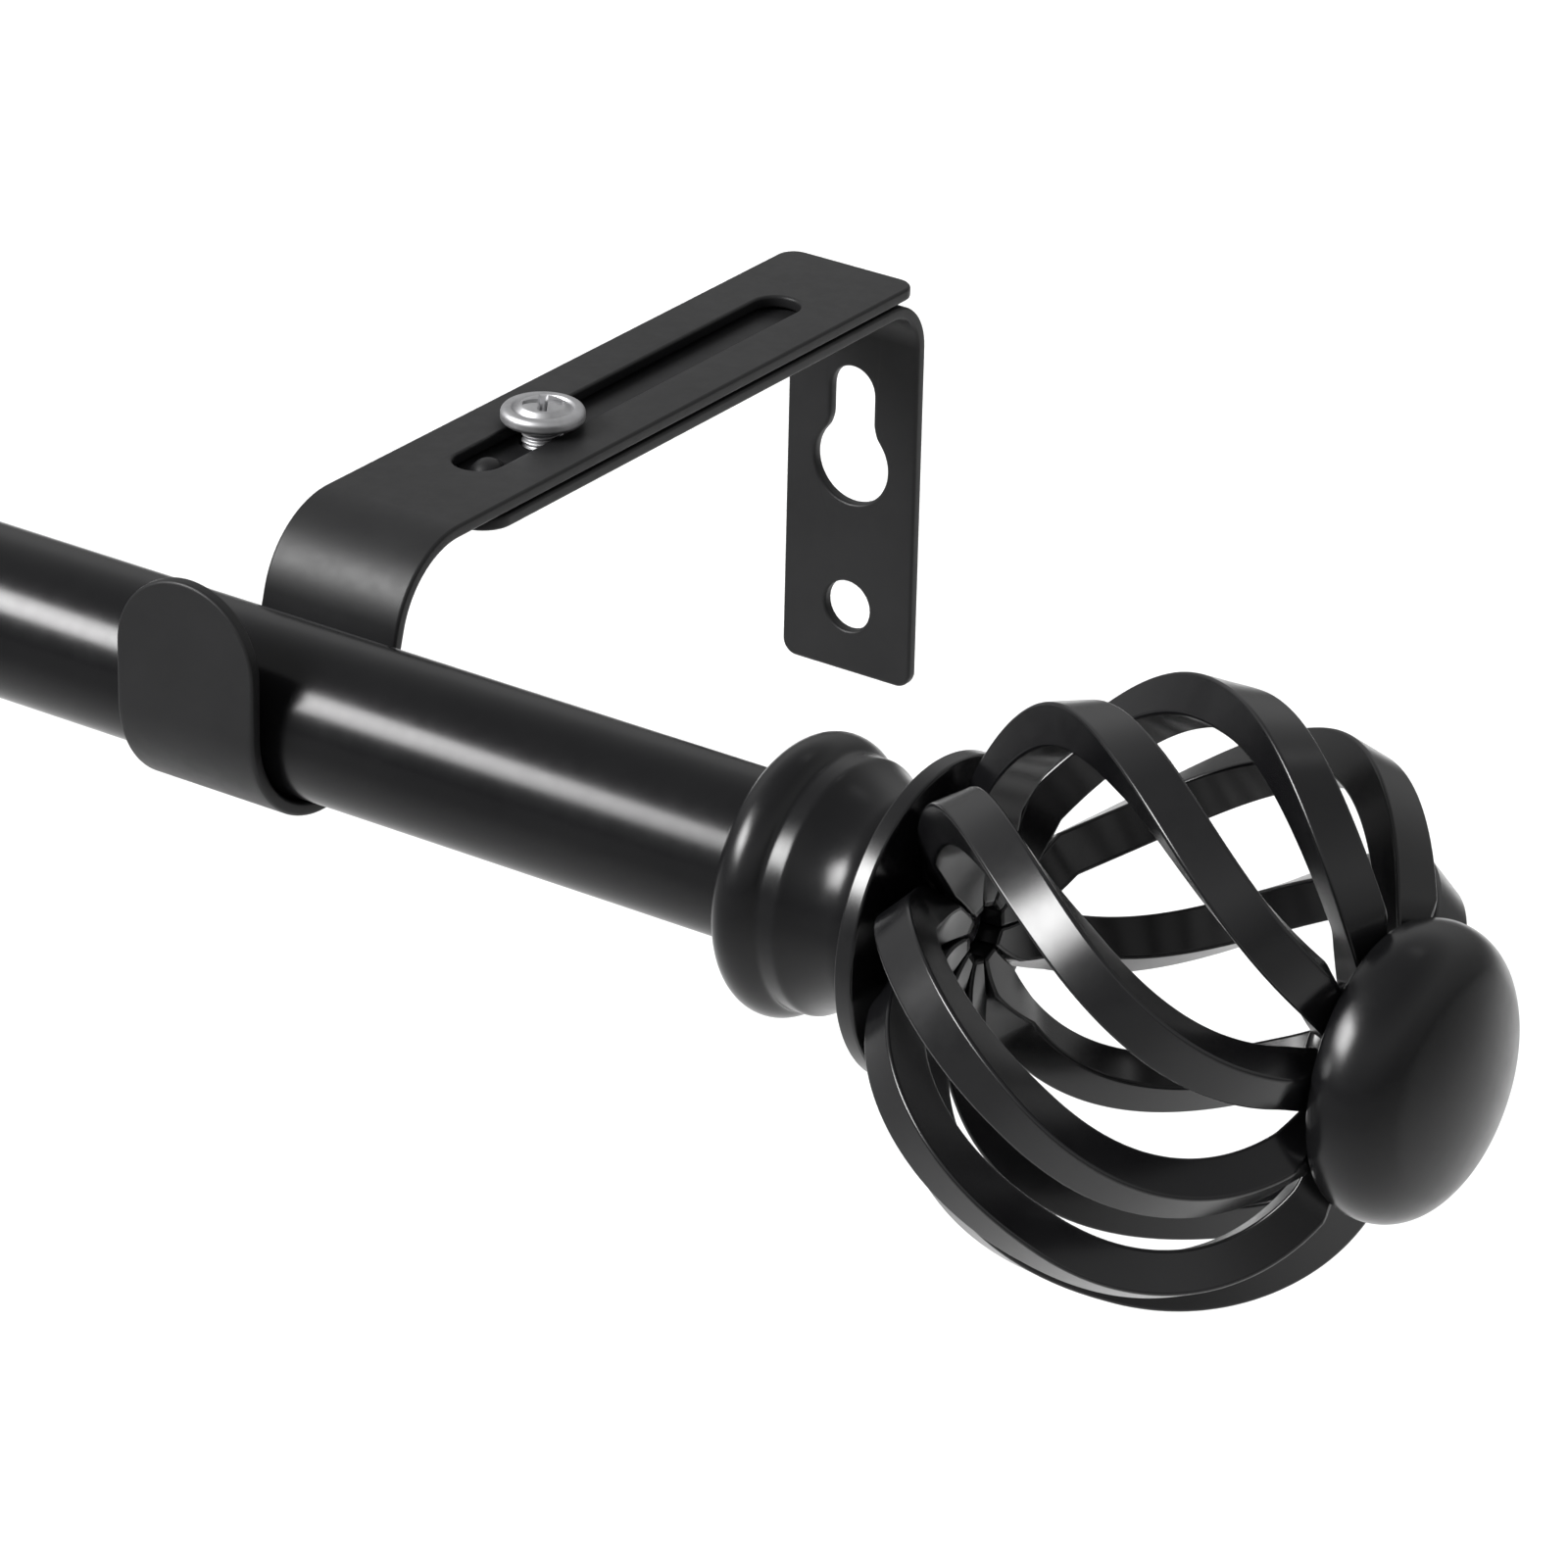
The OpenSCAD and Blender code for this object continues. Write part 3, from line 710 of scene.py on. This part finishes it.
def bar_outline(half, edge):
    """Rounded rectangle: across from -half to half, and depth from 0 down to -BAR_T."""
    right, left, low = half - edge, edge - half, edge - BAR_T
    corners = [(right, -edge), (left, -edge), (left, low), (right, low)]
    return [p for i, corner in enumerate(corners) for p in arc(corner, edge, 90 * i, 90 * i + 90, 4)]


def make_bar(side, index, rings=110):
    first, last = angle_at(PETAL_R, 0.02, 1.4), angle_at(BAR_END_R, math.pi - 0.02, 1.7)
    place = (FINIALS[side] @ Matrix.Translation((0, 0, CAGE_MID))
             @ Matrix.Rotation(math.radians(FIRST_BAR + index * 360 / BAR_COUNT), 4, "Z"))
    bm = bmesh.new()
    rows = []
    for i in range(rings + 1):
        p, across, outward, half = section_frame(first + (last - first) * i / rings)
        edge = min(BAR_EDGE, half * 0.4)
        row = []
        for a, b in bar_outline(half, edge):
            v = p + across * a + outward * b
            v.z = min(v.z, KNOB_BACK)
            row.append(bm.verts.new(place @ v))
        rows.append(row)
    grid_faces(bm, rows)
    bm.faces.new(rows[0])
    bm.faces.new(rows[-1])
    name = f"{side}_{index + 1}"
    finish_piece(bm, "bar_twisted_" + name, "bar_black", "finial_" + side, "cage_bar_" + name)


for side in BRACKETS:
    make_arm(side)
    make_wall_plate(side)
    make_screw(side)
make_rod()
for side, socket in (("right", ROD_R), ("left", INNER_R)):
    make_collar(side, socket)
    make_stud(side)
    make_hub(side)
    make_cap(side)
    make_knob(side)
    for index in range(BAR_COUNT):
        make_bar(side, index)


# ---------- camera, floor and light ----------

CAMERA_AT = (0.4930, -0.73515, 0.3902)
CAMERA_AZIMUTH, CAMERA_ELEVATION, CAMERA_ROLL = 34.37, 25.59, -1.35
CAMERA_LENS, CAMERA_SENSOR = 180, 36
FLOOR_Z, FLOOR_HALF = -0.32, 6.0
SKY_LOW, SKY_MIDDLE, SKY_TOP = 0.22, 0.76, 0.36


def add_camera():
    data = bpy.data.cameras.new("camera")
    data.lens = CAMERA_LENS
    data.sensor_width = CAMERA_SENSOR
    data.clip_end = 20
    camera = bpy.data.objects.new("camera", data)
    bpy.context.scene.collection.objects.link(camera)
    azimuth, elevation, roll = map(math.radians, (CAMERA_AZIMUTH, CAMERA_ELEVATION, CAMERA_ROLL))
    level = math.cos(elevation)
    forward = Vector((-level * math.sin(azimuth), level * math.cos(azimuth), -math.sin(elevation)))
    right = Vector((math.cos(azimuth), math.sin(azimuth), 0))
    up = right.cross(forward)
    x = right * math.cos(roll) - up * math.sin(roll)
    y = right * math.sin(roll) + up * math.cos(roll)
    turn = Matrix((x, y, -forward)).transposed().to_4x4()
    camera.matrix_world = Matrix.Translation(CAMERA_AT) @ turn
    bpy.context.scene.camera = camera


def add_floor():
    bm = bmesh.new()
    corners = [(-1, -1), (1, -1), (1, 1), (-1, 1)]
    bm.faces.new([bm.verts.new((x * FLOOR_HALF, y * FLOOR_HALF, FLOOR_Z)) for x, y in corners])
    mesh = bpy.data.meshes.new("floor")
    bm.to_mesh(mesh)
    bm.free()
    mat, nodes, links, bsdf, coord = new_material("floor")
    soft = noise(nodes, links, coord, 3, 2, 0.5)
    tone = colours(nodes, links, ramp(nodes, links, soft, 0, 1), (0.86, 0.86, 0.86), (0.88, 0.88, 0.88))
    links.new(tone, bsdf.inputs["Base Color"])
    bsdf.inputs["Roughness"].default_value = 0.9
    mesh.materials.append(mat)
    floor = bpy.data.objects.new("floor", mesh)
    bpy.context.scene.collection.objects.link(floor)


def add_light(name, direction, distance, size, radiance, spread, target=(0.0, -0.09, 0.02)):
    """Soft light that shines from a direction on a target.

    The radiance is the brightness of its face, and the spread is its cone in degrees."""
    data = bpy.data.lights.new(name, "AREA")
    data.shape = "RECTANGLE"
    data.size, data.size_y = size
    data.energy = radiance * math.pi * size[0] * size[1]
    data.spread = math.radians(spread)
    light = bpy.data.objects.new(name, data)
    bpy.context.scene.collection.objects.link(light)
    direction = Vector(direction).normalized()
    aim = (-direction).to_track_quat("-Z", "Y").to_matrix()
    light.matrix_world = Matrix.Translation(Vector(target) + direction * distance) @ aim.to_4x4()


def add_world():
    """Sky that is dim at the horizon, brightest half way up and softer overhead."""
    world = bpy.data.worlds.new("studio")
    world.use_nodes = True
    nodes, links = world.node_tree.nodes, world.node_tree.links
    coord = nodes.new("ShaderNodeTexCoord")
    split = nodes.new("ShaderNodeSeparateXYZ")
    links.new(coord.outputs["Generated"], split.inputs["Vector"])
    rise = ramp(nodes, links, split.outputs["Z"], SKY_LOW, SKY_MIDDLE, 0.0, 0.5)
    fall = ramp(nodes, links, split.outputs["Z"], 1.0, SKY_TOP / SKY_MIDDLE, 0.5, 0.9)
    links.new(times(nodes, links, rise, fall), nodes["Background"].inputs["Strength"])
    nodes["Background"].inputs["Color"].default_value = (1, 1, 1, 1)
    bpy.context.scene.world = world


add_camera()
add_floor()
add_world()
add_light("key", (-0.509, -0.640, 0.575), 1.6, (1.3, 0.62), 2.4, 50)
add_light("backdrop", (0.0, 0.0, 1.0), 1.7, (2.2, 1.2), 1.4, 70, (-0.75, 1.25, -0.32))
bpy.context.scene.view_settings.view_transform = "Standard"
